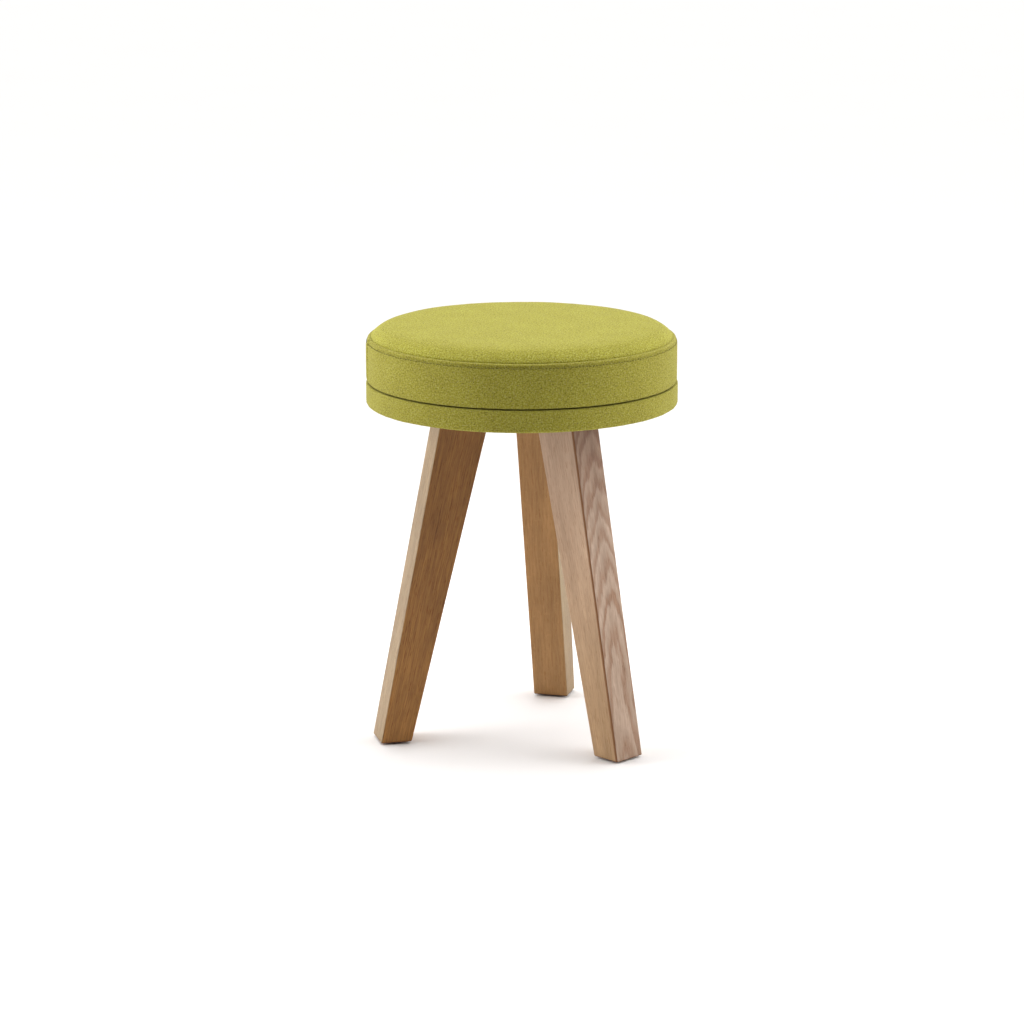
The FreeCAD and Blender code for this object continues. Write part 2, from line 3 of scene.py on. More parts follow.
import bpy
import numpy as np
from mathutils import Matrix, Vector


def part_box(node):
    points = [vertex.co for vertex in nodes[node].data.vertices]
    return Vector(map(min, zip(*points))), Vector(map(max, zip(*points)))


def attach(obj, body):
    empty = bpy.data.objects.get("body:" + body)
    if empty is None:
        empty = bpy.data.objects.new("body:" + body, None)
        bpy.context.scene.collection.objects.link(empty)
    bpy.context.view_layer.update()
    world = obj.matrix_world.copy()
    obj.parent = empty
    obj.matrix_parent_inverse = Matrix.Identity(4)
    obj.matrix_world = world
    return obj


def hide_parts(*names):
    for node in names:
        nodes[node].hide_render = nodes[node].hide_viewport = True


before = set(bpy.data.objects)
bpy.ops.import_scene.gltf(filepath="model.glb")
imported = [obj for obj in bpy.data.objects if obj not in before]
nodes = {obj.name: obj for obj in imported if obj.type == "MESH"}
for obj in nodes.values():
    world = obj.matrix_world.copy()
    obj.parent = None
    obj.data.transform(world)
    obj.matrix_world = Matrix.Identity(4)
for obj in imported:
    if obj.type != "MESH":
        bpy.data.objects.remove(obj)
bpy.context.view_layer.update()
print("frame loaded:", len(nodes), "nodes")


# camera, floor and light

view = {
    "turn": 15,        # degrees round the stool, from straight in front
    "tilt": 13.41,     # degrees downwards
    "back": 3.6447,    # metres from the swivel axis
    "aside": -0.0108,
    "height": 1.119,
    "lens": 119.3,
}


def placeCamera():
    data = bpy.data.cameras.new("stoolCamera")
    data.lens = view["lens"]
    camera = bpy.data.objects.new("stoolCamera", data)
    turn = math.radians(view["turn"])
    camera.location = (
        view["aside"] * math.cos(turn) + view["back"] * math.sin(turn),
        view["aside"] * math.sin(turn) - view["back"] * math.cos(turn),
        view["height"],
    )
    camera.rotation_euler = (math.radians(90 - view["tilt"]), 0, turn)
    bpy.context.collection.objects.link(camera)
    bpy.context.scene.camera = camera


def node(tree, kind, inputs=None, out=0, **settings):
    made = tree.nodes.new(kind)
    for name, value in settings.items():
        if name == "stops":
            setStops(made.color_ramp, value)
        else:
            setattr(made, name, value)
    for name, value in (inputs or {}).items():
        if isinstance(value, Wire):
            tree.links.new(value.output, made.inputs[name])
        else:
            made.inputs[name].default_value = value
    return Wire(tree, made.outputs[out])


def setStops(ramp, stops):
    while len(ramp.elements) > 1:
        ramp.elements.remove(ramp.elements[-1])
    for number, (place, colour) in enumerate(stops):
        stop = ramp.elements[0] if number == 0 else ramp.elements.new(place)
        stop.position = place
        stop.color = (*colour, 1)


class Wire:  # one output of a node, so that shader maths reads as Python
    def __init__(self, tree, output):
        self.tree = tree
        self.output = output

    def maths(self, operation, *others):
        return node(self.tree, "ShaderNodeMath", dict(enumerate((self, *others))), operation=operation)

    def __add__(self, other):
        return self.maths("ADD", other)

    def __sub__(self, other):
        return self.maths("SUBTRACT", other)

    def __rsub__(self, other):
        return self * -1 + other

    def __mul__(self, other):
        return self.maths("MULTIPLY", other)

    def __truediv__(self, other):
        return self.maths("DIVIDE", other)

    def __pow__(self, other):
        return self.maths("POWER", other)

    __radd__ = __add__
    __rmul__ = __mul__

    def vector(self, operation, other, out=0):
        return node(self.tree, "ShaderNodeVectorMath", {0: self, 1: other}, out, operation=operation)

    def dot(self, direction):
        return self.vector("DOT_PRODUCT", direction, "Value")

    def scaled(self, amounts):
        return self.vector("MULTIPLY", amounts)

    def moved(self, offset):
        return self.vector("ADD", offset)

    def between(self, low, high):  # 0 below low, 1 above high, smooth on the way
        values = {"Value": self, "From Min": low, "From Max": high}
        return node(self.tree, "ShaderNodeMapRange", values, interpolation_type="SMOOTHSTEP")

    def noise(self, scale, detail=3.0, roughness=0.5):
        values = {"Vector": self, "Scale": scale, "Detail": detail, "Roughness": roughness}
        return node(self.tree, "ShaderNodeTexNoise", values, "Fac")

    def ramp(self, *stops):
        return node(self.tree, "ShaderNodeValToRGB", {"Fac": self}, stops=stops)

    def mixed(self, colour, share, blend="MIX"):  # this colour with another laid over it
        values = {0: share, 6: self, 7: colour}
        return node(self.tree, "ShaderNodeMix", values, 2, data_type="RGBA", blend_type=blend)

    def bump(self, strength, distance):
        values = {"Height": self, "Strength": strength, "Distance": distance}
        return node(self.tree, "ShaderNodeBump", values)


def joined(x, y, z):
    return node(x.tree, "ShaderNodeCombineXYZ", {0: x, 1: y, 2: z})


def newMaterial(name):
    material = bpy.data.materials.new(name)
    material.use_nodes = True
    tree = material.node_tree
    here = node(tree, "ShaderNodeTexCoord", out="Object")
    onCloth = node(tree, "ShaderNodeTexCoord", out="UV")
    return material, here.scaled((1000, 1000, 1000)), onCloth.scaled((1000, 1000, 1000))


def finish(material, **inputs):
    # wires are linked and numbers set on the shader; an underscore in a name stands for a space
    shader = material.node_tree.nodes["Principled BSDF"]
    for name, value in inputs.items():
        socket = shader.inputs[name.replace("_", " ")]
        if isinstance(value, Wire):
            value.tree.links.new(value.output, socket)
        else:
            socket.default_value = value
    return material


def wear(piece, material):
    piece.data.materials.clear()
    piece.data.materials.append(material)


studio = {
    "paint": (0.87, 0.85, 0.84),
    "floorSize": 30,         # metres
    "roomGlow": 1.70,
    "frontGlow": 0.0,        # the room is dark behind the camera
    "frontSpread": (-0.02, 0.54),
    "topPlace": (0, 0.15, 1.7),
    "topSize": 1.6,
    "topPower": 11,
    "aside": 1.9,            # metres from the stool to the soft lights at its sides
    "forward": 0.1,
    "sideHeight": 0.9,
    "sideSize": 1.2,
    "leftPower": 18,
    "rightPower": 14,
    "aimHeight": 0.3,
}


def lightStudio():
    world = bpy.data.worlds.new("studioRoom")
    world.use_nodes = True
    bpy.context.scene.world = world
    turn = math.radians(view["turn"])
    direction = node(world.node_tree, "ShaderNodeTexCoord", out="Generated")
    front = direction.dot((math.sin(turn), -math.cos(turn), 0)).between(*studio["frontSpread"])
    # only the lighting is dark in front: the backdrop itself is white all round
    seen = node(world.node_tree, "ShaderNodeLightPath", out="Is Camera Ray")
    glow = studio["roomGlow"] - front * (1 - seen) * (studio["roomGlow"] - studio["frontGlow"])
    background = world.node_tree.nodes["Background"]
    world.node_tree.links.new(glow.output, background.inputs["Strength"])
    background.inputs["Color"].default_value = (1, 1, 1, 1)

    addSoftbox("topLight", studio["topPlace"], studio["topSize"], studio["topPower"])
    for side, name in ((-1, "left"), (1, "right")):
        across, near = side * studio["aside"], studio["forward"]
        place = (
            across * math.cos(turn) + near * math.sin(turn),
            across * math.sin(turn) - near * math.cos(turn),
            studio["sideHeight"],
        )
        addSoftbox(f"{name}Light", place, studio["sideSize"], studio[f"{name}Power"])


def addSoftbox(name, place, size, power):
    data = bpy.data.lights.new(name, "AREA")
    data.size = size
    data.energy = power
    light = bpy.data.objects.new(name, data)
    light.location = place
    aim = Vector((0, 0, studio["aimHeight"])) - Vector(place)
    light.rotation_euler = aim.to_track_quat("-Z", "Y").to_euler()
    bpy.context.collection.objects.link(light)


def deselectAll():
    if bpy.context.object and bpy.context.object.mode != "OBJECT":
        bpy.ops.object.mode_set(mode="OBJECT")
    bpy.ops.object.select_all(action="DESELECT")


def layFloor():
    deselectAll()
    bpy.ops.mesh.primitive_plane_add(size=studio["floorSize"], location=(0, 0, 0))
    floor = bpy.context.object
    floor.name = "studioFloor"
    material, here, _ = newMaterial("floorPaint")
    paint = studio["paint"]
    shade = here.noise(0.003, 2).ramp((0, paint), (1, tuple(part + 0.01 for part in paint)))
    wear(floor, finish(material, Base_Color=shade, Roughness=0.85))


bpy.context.scene.view_settings.view_transform = "Standard"
placeCamera()
lightStudio()
layFloor()
print("camera, light and floor")


# oak legs

oak = {
    "early": (0.70, 0.50, 0.35),       # these multiply the wood's own colour
    "late": (1.16, 1.18, 1.22),
    "pore": (0.62, 0.50, 0.40),
    "ray": (1.20, 1.22, 1.24),
    # the next tone is painted shade round the bottom of each foot
    "sole": (0.62, 0.52, 0.42),
    "arris": (0.205, 0.078, 0.020),    # and this replaces it
    "wander": 8,                       # mm that the rings stray, over long, middling and short stretches
    "ripple": 3.2,
    "feather": 1.0,
    "footUpTo": 330,                   # mm up the leg to which the foot's tone reaches
    "seatShadeSpan": (230, 370),             # mm up the leg over which the painted shade under the seat comes in
    "halfWidth": 20,                   # mm
    "arrisWidth": (1.6, 2.9),
    "arrisDepth": 2.4,
    "soleHeight": (0.8, 2.0),
    "bump": 0.0003,                    # metres
}
# azimuth is in degrees from the front; pith is in mm outwards and sideways from the leg's middle, and
# curve and lean are how it bends and leans over the leg's length; ring is the mm between growth rings;
# rings, pores and the like are strengths
# the face tones outer, inner, plus and minus and the foot tone are partly the wood's own colour and partly
# painted light and shade
legWood = {
    "leg_front_left": {
        "azimuth": -60, "pith": (-95, 80), "curve": 0.00002, "lean": 0.0, "seed": 3, "ring": 1.9,
        "rings": 0.35, "sideRings": 0.35, "streaks": 0.85, "pores": 0.8, "rays": 0.10, "arris": 0.0,
        # the outer face's top tone is painted shade under the seat, painted light on this leg
        "outer": (0.304, 0.210, 0.109), "outerTopShading": (1.12, 1.10, 1.05), "inner": (0.33, 0.175, 0.068),
        "plus": (0.272, 0.118, 0.0225), "minus": (0.32, 0.180, 0.072), "foot": (1.50, 1.60, 1.92),
    },
    "leg_front_right": {
        "azimuth": 60, "pith": (-44, -3), "curve": 0.00012, "lean": 0.035, "seed": 11, "ring": 2.7,
        "rings": 0.88, "sideRings": 0.10, "streaks": 0.38, "pores": 0.60, "rays": 0.25, "arris": 0.95,
        "outer": (0.378, 0.260, 0.180), "outerTopShading": (0.60, 0.47, 0.35), "inner": (0.38, 0.235, 0.12),
        "plus": (0.40, 0.27, 0.15), "minus": (0.476, 0.321, 0.213), "foot": (0.90, 0.83, 0.62),
    },
    "leg_rear": {
        "azimuth": 180, "pith": (70, -60), "curve": -0.00002, "lean": 0.0, "seed": 23, "ring": 2.3,
        "rings": 0.14, "sideRings": 0.14, "streaks": 0.40, "pores": 0.40, "rays": 0.45, "arris": 0.0,
        "outer": (0.36, 0.23, 0.118), "outerTopShading": (0.9, 0.9, 0.9), "inner": (0.362, 0.194, 0.067),
        "plus": (0.335, 0.205, 0.10), "minus": (0.345, 0.262, 0.134), "foot": (0.81, 0.68, 0.58),
    },
}


def legFrame(piece, azimuth):
    # the leg's outward direction, and where its outline stands at the foot and at the top, in mm
    outward = Vector((math.sin(math.radians(azimuth)), -math.cos(math.radians(azimuth)), 0))
    reach = np.array([(vertex.co.dot(outward), vertex.co.z) for vertex in piece.data.vertices]) * 1000
    low, high = reach[:, 1].min(), reach[:, 1].max()
    foot = reach[reach[:, 1] < low + 3, 0]
    top = reach[reach[:, 1] > high - 1, 0]
    return outward, (foot.min(), foot.max(), low), (top.min(), top.max(), high)


def oakLeg(name, piece):
    wood = legWood[name]
    outward, foot, top = legFrame(piece, wood["azimuth"])
    sideways = Vector((0, 0, 1)).cross(outward)
    up = Vector((0, 0, 1))
    footMiddle = outward * (foot[0] + foot[1]) / 2 + up * foot[2]
    topMiddle = outward * (top[0] + top[1]) / 2 + up * top[2]
    lengthways = (topMiddle - footMiddle).normalized()
    crossways = sideways.cross(lengthways)
    material, here, _ = newMaterial(f"oak_{name}")
    local = here.moved(-footMiddle)
    along = local.dot(lengthways)
    across = local.dot(crossways)
    aside = local.dot(sideways)

    def belowFace(side):  # mm under the outer (1) or inner (0) face
        edge = (outward * (top[side] - foot[side]) + up * (top[2] - foot[2])).normalized()
        facing = sideways.cross(edge) * (1 if side else -1)
        return (outward * foot[side] + up * foot[2] - footMiddle).dot(facing) - local.dot(facing)

    def grain(thick, length, offset, detail=2, roughness=0.5):  # noise drawn out along the leg, in mm
        stretched = joined(across / thick, aside / thick, along / length)
        return stretched.moved((wood["seed"] + offset, offset, 0)).noise(1.0, detail, roughness)

    # growth rings round the pith, which wanders a little
    wander = (grain(55, 160, 1) - 0.5) * oak["wander"]
    ripple = (grain(9, 40, 2) - 0.5) * oak["ripple"]
    feather = (grain(1.5, 16, 3) - 0.5) * oak["feather"]
    fromPithAcross = across - wood["pith"][0] + along ** 2 * wood["curve"] + wander
    fromPithAside = aside - wood["pith"][1] - along * wood["lean"] + wander * 0.6
    radius = (fromPithAcross ** 2 + fromPithAside ** 2) ** 0.5 + ripple + feather
    year = radius / wood["ring"]
    phase = year.maths("FRACT")
    spring = phase.between(0.02, 0.20) * (1 - phase.between(0.30, 0.72))
    yearTone = node(year.tree, "ShaderNodeTexWhiteNoise", {"W": year.maths("FLOOR")}, "Value",
                    noise_dimensions="1D")

    # each face has its own tone, partly its own cut of the board and partly painted light and shade; down the
    # plus and minus faces it fades to a foot tone that is partly painted light and shade too
    colour = aside.between(-1, 1).ramp((0, wood["minus"]), (1, wood["plus"]))
    underOuter = belowFace(1)
    onOuter = 1 - underOuter.between(0.35, 0.85)
    onInner = 1 - belowFace(0).between(0.35, 0.85)
    colour = colour.mixed((*wood["foot"], 1), 1 - along.between(0, oak["footUpTo"]), "MULTIPLY")
    colour = colour.mixed((*wood["outer"], 1), onOuter).mixed((*wood["inner"], 1), onInner)
    # painted shade under the seat over the top of the outer face; on the front left leg it is painted light
    inSeatShade = along.between(*oak["seatShadeSpan"])
    colour = colour.mixed((*wood["outerTopShading"], 1), onOuter * inSeatShade, "MULTIPLY")

    sides = wood["sideRings"]
    rings = (onOuter + onInner) * (wood["rings"] - sides) + sides
    colour = colour.mixed((*oak["early"], 1), spring * (0.55 + yearTone * 0.45) * rings, "MULTIPLY")
    colour = colour.mixed((*oak["late"], 1), phase.between(0.70, 0.95) * rings * 0.8, "MULTIPLY")
    broad = grain(16, 110, 4, 3).ramp((0.30, (0.86, 0.84, 0.81)), (0.70, (1.14, 1.15, 1.17)))
    colour = colour.mixed(broad, 0.9, "MULTIPLY")
    streak = grain(2.2, 38, 5, 3, 0.6).ramp((0.30, (0.72, 0.68, 0.63)), (0.70, (1.26, 1.29, 1.33)))
    colour = colour.mixed(streak, wood["streaks"], "MULTIPLY")
    fibre = grain(0.8, 11, 6, 3, 0.6)
    colour = colour.mixed(fibre.ramp((0.3, (0.9, 0.89, 0.88)), (0.7, (1.1, 1.11, 1.12))), 0.8, "MULTIPLY")
    pores = grain(0.85, 9, 7).between(0.55, 0.66) * (0.45 + spring * 0.55)
    colour = colour.mixed((*oak["pore"], 1), pores * wood["pores"], "MULTIPLY")
    flakes = joined(across / 0.8, aside / 5, along / 4).moved((0, wood["seed"], 0)).noise(1.0, 2)
    rays = flakes.between(0.60, 0.70) * wood["rays"]
    colour = colour.mixed((*oak["ray"], 1), rays, "MULTIPLY")

    # darker along the front edge, and painted shade round the sole where the leg stands on the floor
    corner = (underOuter ** 2 + ((aside + oak["halfWidth"]) * oak["arrisDepth"]) ** 2) ** 0.5
    onArris = 1 - corner.between(*oak["arrisWidth"])
    colour = colour.mixed((*oak["arris"], 1), onArris * wood["arris"])
    overFoot = here.dot((0, 0, 1)) - foot[2]
    colour = colour.mixed((*oak["sole"], 1), 1 - overFoot.between(*oak["soleHeight"]), "MULTIPLY")

    height = fibre * 0.4 - pores * 0.8 + streak.dot((0.3, 0.3, 0.3)) * 0.3
    rough = 0.50 + pores * 0.2 + fibre * 0.08
    wear(piece, finish(
        material, Base_Color=colour, Roughness=rough, Normal=height.bump(0.4, oak["bump"]),
        Coat_Weight=0.06, Coat_Roughness=0.4, Specular_IOR_Level=0.4,
    ))


for legName in legWood:
    oakLeg(legName, nodes[legName])
print("oak legs")


# wool cloth

wool = {
    "yarn": 1.25,             # mm from yarn to yarn
    "dark": (0.095, 0.075, 0.016),
    "deep": (0.205, 0.183, 0.016),
    "main": (0.325, 0.302, 0.032),
    "light": (0.450, 0.430, 0.096),
    "grey": (0.270, 0.220, 0.150),
    "greyShare": 0.42,
    "sheen": (0.80, 0.78, 0.35),
    "sway": 2.5,              # yarns by which the weave strays
    "bump": 0.00035,          # metres
    "bumpStrength": 0.58,
    # the next tone is painted light on the top's rolled edge, with the span over which it comes in
    "paintedRollLight": (1.12, 1.13, 1.22),
    "rollLightBetween": (148, 164),   # mm of cloth from the middle of the top
}


def woolCloth(name, turned, tone, sheen):
    material, _, onCloth = newMaterial(name)
    along, crossing = ((1, 0, 0), (0, 1, 0)) if turned else ((0, 1, 0), (1, 0, 0))
    sway = onCloth.noise(0.05, 2) - 0.5
    warp = onCloth.dot(along) / wool["yarn"] + sway * wool["sway"]
    weft = onCloth.dot(crossing) / wool["yarn"] + sway * wool["sway"]

    def yarnHeight(own, other, start):  # a round yarn, over and under the other set
        crown = (own * math.pi).maths("SINE").maths("ABSOLUTE")
        over = ((other + own.maths("FLOOR") + start) * math.pi).maths("COSINE") * 0.5 + 0.5
        return crown * over

    warpHeight = yarnHeight(warp, weft - 0.5, 0)
    weftHeight = yarnHeight(weft, warp - 0.5, 1)
    weave = warpHeight.maths("MAXIMUM", weftHeight)
    warpOnTop = (warpHeight - weftHeight).between(-0.15, 0.15)

    # the yarns are spun from wool of several tones, so flecks run a few millimetres along each
    warpFleck = joined(warp * 0.95, weft * 0.30, 0).noise(1.0, 4, 0.62)
    weftFleck = joined(warp * 0.30, weft * 0.95, 5).noise(1.0, 4, 0.62)
    fleck = warpFleck * warpOnTop + weftFleck * (1 - warpOnTop)
    melange = onCloth.moved((30, 90, 0)).noise(0.55, 4, 0.68)
    greyFleck = onCloth.moved((50, 20, 7)).noise(0.70, 3, 0.65).between(0.54, 0.66)
    cloud = onCloth.noise(0.030, 3)
    colour = (fleck * 0.5 + melange * 0.5).ramp(
        (0.35, wool["dark"]), (0.42, wool["deep"]), (0.50, wool["main"]), (0.60, wool["light"]))
    colour = colour.mixed((*wool["grey"], 1), greyFleck * wool["greyShare"])
    # each copy's own tint, which is painted light and shade
    colour = colour.mixed((*tone, 1), 1.0, "MULTIPLY")
    # darker in the hollows between the yarns: painted shade
    colour = colour.mixed(weave.ramp((0, (0.52, 0.50, 0.42)), (0.55, (1, 1, 1))), 0.8, "MULTIPLY")
    colour = colour.mixed(cloud.ramp((0.3, (0.95, 0.94, 0.91)), (0.7, (1.05, 1.05, 1.06))), 1.0, "MULTIPLY")

    if not turned:  # painted light: paler where the top rolls over to the seam
        reach = onCloth.vector("LENGTH", (0, 0, 0), "Value")
        colour = colour.mixed((*wool["paintedRollLight"], 1), reach.between(*wool["rollLightBetween"]), "MULTIPLY")

    hair = onCloth.noise(5.5, 2, 0.6)
    height = weave * 0.8 + fleck * 0.6 + melange * 0.9 + hair * 0.4
    return finish(
        material, Base_Color=colour, Roughness=0.92 - weave * 0.06,
        Normal=height.bump(wool["bumpStrength"], wool["bump"]),
        Sheen_Weight=sheen, Sheen_Roughness=0.5, Sheen_Tint=(*wool["sheen"], 1), Specular_IOR_Level=0.2,
    )


# the top and the band are one fabric; their small difference in tone is painted light and shade
woolTop = woolCloth("woolTop", False, (0.995, 0.995, 0.90), 0.07)
woolBand = woolCloth("woolBand", True, (0.98, 0.965, 0.98), 0.12)
print("wool cloth")


# cushion

cushion = {
    "segments": 532,
    "coreSegments": 266,
    "thickness": 0.0012,
    "fold": 0.150,            # edge of the cloth turned in underneath
    "drop": 0.0004,           # how far the cloth hangs under the board
    "bend": 0.0018,
    "shoulder": 0.0075,       # depth over which the side strip rounds out from the seam
    "belly": 0.0002,
    "topBend": 0.0265,        # radius of the top's rolled edge
    "crown": 0.0003,
    "joinAzimuth": -65,       # degrees, where the ends of the side strip are sewn together
    "joinDip": 0.0009,
    "bulge": 0.0013,          # turned-in cloth behind that join, and how far it reaches
    "bulgeReach": 0.022,
    "uneven": 0.00030,        # slow waves round the side strip
    "hem": 0.00015,           # small waves over its lower edge
    "topUneven": 0.00014,
    "topPulls": 0.00012,
    "topRidge": 0.00025,
    "pressure": 4,            # how hard the padding pushes, for how many steps, and the most it moves
    "steps": 20,
    "blowUp": 0.0006,
    "slack": -0.015,
}
seam = {
    "depth": 0.0007,
    "width": 0.0007,
    "ridge": 0.0009,
    "stitchLine": 0.0050,     # below the seam
    "stitchDepth": 0.0006,
    "pucker": 0.00022,
    "pull": (0.85, 0.53),     # the way both covers are pulled, outwards and up
    "pullWidth": 0.0015,
    "fine": 0.010,            # depth under the seam with closely spaced rings
}

sideLow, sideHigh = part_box("seat_cover_side")
topLow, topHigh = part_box("seat_cover_top")
seatRadius = sideHigh.y
seatBottom = sideLow.z - cushion["drop"]
seamHeight = sideHigh.z
seamRadius = topHigh.y
seatTop = topHigh.z


def sideRadius(height):
    # outline of the side strip: quickly out from the seam, then almost straight down
    drop = seamHeight - height
    inward = (seatRadius - seamRadius) * np.clip(1 - drop / cushion["shoulder"], 0, 1) ** 2.3
    share = np.clip((height - seatBottom) / (seamHeight - seatBottom), 0, 1)
    return seatRadius - inward + cushion["belly"] * np.sin(math.pi * share)


def topHeight(radius):
    bend = cushion["topBend"]
    share = np.clip(radius / seamRadius, 0, 1)
    flat = seamRadius - math.sqrt(bend ** 2 - (seamHeight + bend - seatTop) ** 2)  # rounded beyond this
    down = bend - np.sqrt(bend ** 2 - np.clip(radius - flat, 0, seamRadius - flat) ** 2)
    return seatTop - down + cushion["crown"] * (1 - share ** 2)


def sideRings():
    bend = cushion["bend"]
    rings = [(radius, seatBottom) for radius in np.linspace(cushion["fold"], seatRadius - bend, 6)]
    for angle in np.linspace(0, math.pi / 2, 6)[1:]:
        rings.append((seatRadius - bend + bend * math.sin(angle), seatBottom + bend - bend * math.cos(angle)))
    for height in np.linspace(seatBottom + bend, seamHeight - seam["fine"], 15)[1:]:
        rings.append((float(sideRadius(height)), height))
    for share in np.linspace(0, 1, 25)[1:]:
        height = seamHeight - seam["fine"] * (1 - share)
        rings.append((float(sideRadius(height)), height))
    return rings


def topRings():
    steps = np.concatenate([  # metres in from the seam, close together at first
        0.003 * np.linspace(0, 1, 12) ** 2,
        np.linspace(0.0038, 0.024, 22),
        np.linspace(0.028, 0.060, 9),
        np.linspace(0.068, 0.156, 12),
    ])
    return [(float(seamRadius - step), float(topHeight(seamRadius - step))) for step in steps]


def turnedSkin(name, rings, segments, closed=False):
    # a ring of edges, drawn out ring by ring along the outline
    deselectAll()
    radius, height = rings[0]
    bpy.ops.mesh.primitive_circle_add(
        vertices=segments, radius=radius, location=(0, 0, height), calc_uvs=False)
    piece = bpy.context.object
    piece.name = name
    bpy.ops.object.transform_apply(location=True)
    bpy.ops.object.mode_set(mode="EDIT")
    bpy.ops.mesh.select_all(action="SELECT")
    for (radius, height), (nextRadius, nextHeight) in zip(rings, rings[1:]):
        bpy.ops.mesh.extrude_edges_move(TRANSFORM_OT_translate={"value": (0, 0, nextHeight - height)})
        size = nextRadius / radius
        bpy.ops.transform.resize(value=(size, size, 1), center_override=(0, 0, nextHeight))
    if closed:
        bpy.ops.mesh.merge(type="CENTER")
    bpy.ops.mesh.select_all(action="SELECT")
    bpy.ops.mesh.normals_make_consistent(inside=False)
    bpy.ops.object.mode_set(mode="OBJECT")
    return piece


def readPoints(piece, what="co"):
    found = np.zeros(len(piece.data.vertices) * 3)
    piece.data.vertices.foreach_get(what, found)
    return found.reshape(-1, 3)


def setPoints(piece, places):
    piece.data.vertices.foreach_set("co", np.ascontiguousarray(places, dtype=np.float32).ravel())
    piece.data.update()


def applyModifiers(piece):
    deselectAll()
    bpy.context.view_layer.objects.active = piece
    piece.select_set(True)
    for modifier in list(piece.modifiers):
        bpy.ops.object.modifier_apply(modifier=modifier.name)


def paddedCore():
    # the whole cushion blown up as cloth, coarse, for the covers to be drawn over
    heights = np.linspace(seatBottom + cushion["bend"], seamHeight, 14)[1:]
    inwards = [
        0.0004, 0.0012, 0.0025, 0.0045, 0.007, 0.010, 0.0135, 0.0175, 0.022, 0.0265,
        *np.linspace(0.031, 0.155, 28),
    ]
    rings = sideRings()[:11:2]
    rings += [(float(sideRadius(height)), float(height)) for height in heights]
    rings += [(float(seamRadius - step), float(topHeight(seamRadius - step))) for step in inwards]
    core = turnedSkin("cushionCore", rings, cushion["coreSegments"], closed=True)
    blowUp(core)
    smooth = core.modifiers.new("Smooth", "SUBSURF")
    smooth.levels = 1
    smooth.render_levels = 1
    smooth.use_limit_surface = False
    applyModifiers(core)
    return core


def blowUp(core):
    start = readPoints(core)
    away = np.hypot(start[:, 0], start[:, 1])
    fromSeam = np.hypot(away - seamRadius, start[:, 2] - seamHeight)
    held = core.vertex_groups.new(name="held")
    still = (start[:, 2] < seatBottom + 0.003) | (fromSeam < 0.0006)  # the underside and the seam
    held.add(np.flatnonzero(still).tolist(), 1.0, "ADD")
    slack = core.vertex_groups.new(name="slack")
    chance = np.random.default_rng(7).random(len(start))
    for index, weight in enumerate(bell(fromSeam, 0.014) * (0.35 + 0.65 * chance)):
        slack.add([index], float(weight), "REPLACE")
    cloth = core.modifiers.new("Cloth", "CLOTH").settings
    cloth.quality = 6
    cloth.mass = 0.25
    cloth.tension_stiffness = 20
    cloth.compression_stiffness = 20
    cloth.shear_stiffness = 8
    cloth.bending_stiffness = 0.8
    cloth.use_pressure = True
    cloth.uniform_pressure_force = cushion["pressure"]
    cloth.vertex_group_mass = "held"
    cloth.vertex_group_shrink = "slack"
    cloth.shrink_min = 0
    cloth.shrink_max = cushion["slack"]
    cloth.effector_weights.gravity = 0
    for number in range(1, cushion["steps"] + 1):
        bpy.context.scene.frame_set(number)
    applyModifiers(core)
    bpy.context.scene.frame_set(1)
    moved = readPoints(core) - start
    far = np.linalg.norm(moved, axis=1, keepdims=True)
    most = cushion["blowUp"]
    setPoints(core, start + moved * most * np.tanh(far / most) / np.maximum(far, 1e-9))
    print("cushion blown up by", round(float(far.max()) * 1000, 2), "mm before the limit")


def drapeOver(piece, core):
    wrap = piece.modifiers.new("Over", "SHRINKWRAP")
    wrap.target = core
    wrap.wrap_method = "NEAREST_SURFACEPOINT"
    applyModifiers(piece)


def smoothNoise(angle, waves, seed):
    # an uneven wave round the stool that meets itself
    chance = np.random.default_rng(seed)
    total = np.zeros_like(angle)
    for wave in waves:
        total += chance.uniform(0.4, 1.0) * np.sin(wave * angle + chance.uniform(0, 2 * math.pi))
    return total / math.sqrt(len(waves))


def bell(distance, width):
    return np.exp(-(distance / width) ** 2)


def ease(value, low, high):
    share = np.clip((value - low) / (high - low), 0, 1)
    return share * share * (3 - 2 * share)


def placesOn(piece, rings):
    # where each point is along the outline, round the stool, and out from its middle
    places = readPoints(piece)
    outline = np.array(rings)
    away = np.hypot(places[:, 0], places[:, 1])
    gaps = (away[:, None] - outline[None, :, 0]) ** 2 + (places[:, 2:3] - outline[None, :, 1]) ** 2
    lengths = np.concatenate([[0], np.cumsum(np.hypot(*np.diff(outline, axis=0).T))])
    return lengths[gaps.argmin(axis=1)], lengths[-1], np.arctan2(places[:, 1], places[:, 0]), away


def roundFrom(azimuth, angle):  # angle past an azimuth that is counted from the front
    return np.mod(angle - math.radians(azimuth - 90) + math.pi, 2 * math.pi) - math.pi


def layWeave(piece, across, along, wrapAt=None):
    # a flat layout of the cloth in metres; wrapAt is the length at which it meets itself
    layer = piece.data.uv_layers.new(name="weave")
    for polygon in piece.data.polygons:
        corners = [piece.data.loops[index].vertex_index for index in polygon.loop_indices]
        own = [across[corner] for corner in corners]
        if wrapAt and max(own) - min(own) > wrapAt / 2:
            own = [value + wrapAt if value < 0 else value for value in own]
        for index, corner, value in zip(polygon.loop_indices, corners, own):
            layer.data[index].uv = (value, along[corner])


def thicken(piece, thickness):
    wall = piece.modifiers.new("Wall", "SOLIDIFY")
    wall.thickness = thickness
    wall.offset = -1
    applyModifiers(piece)


def smoothFaces(piece):
    for polygon in piece.data.polygons:
        polygon.use_smooth = True


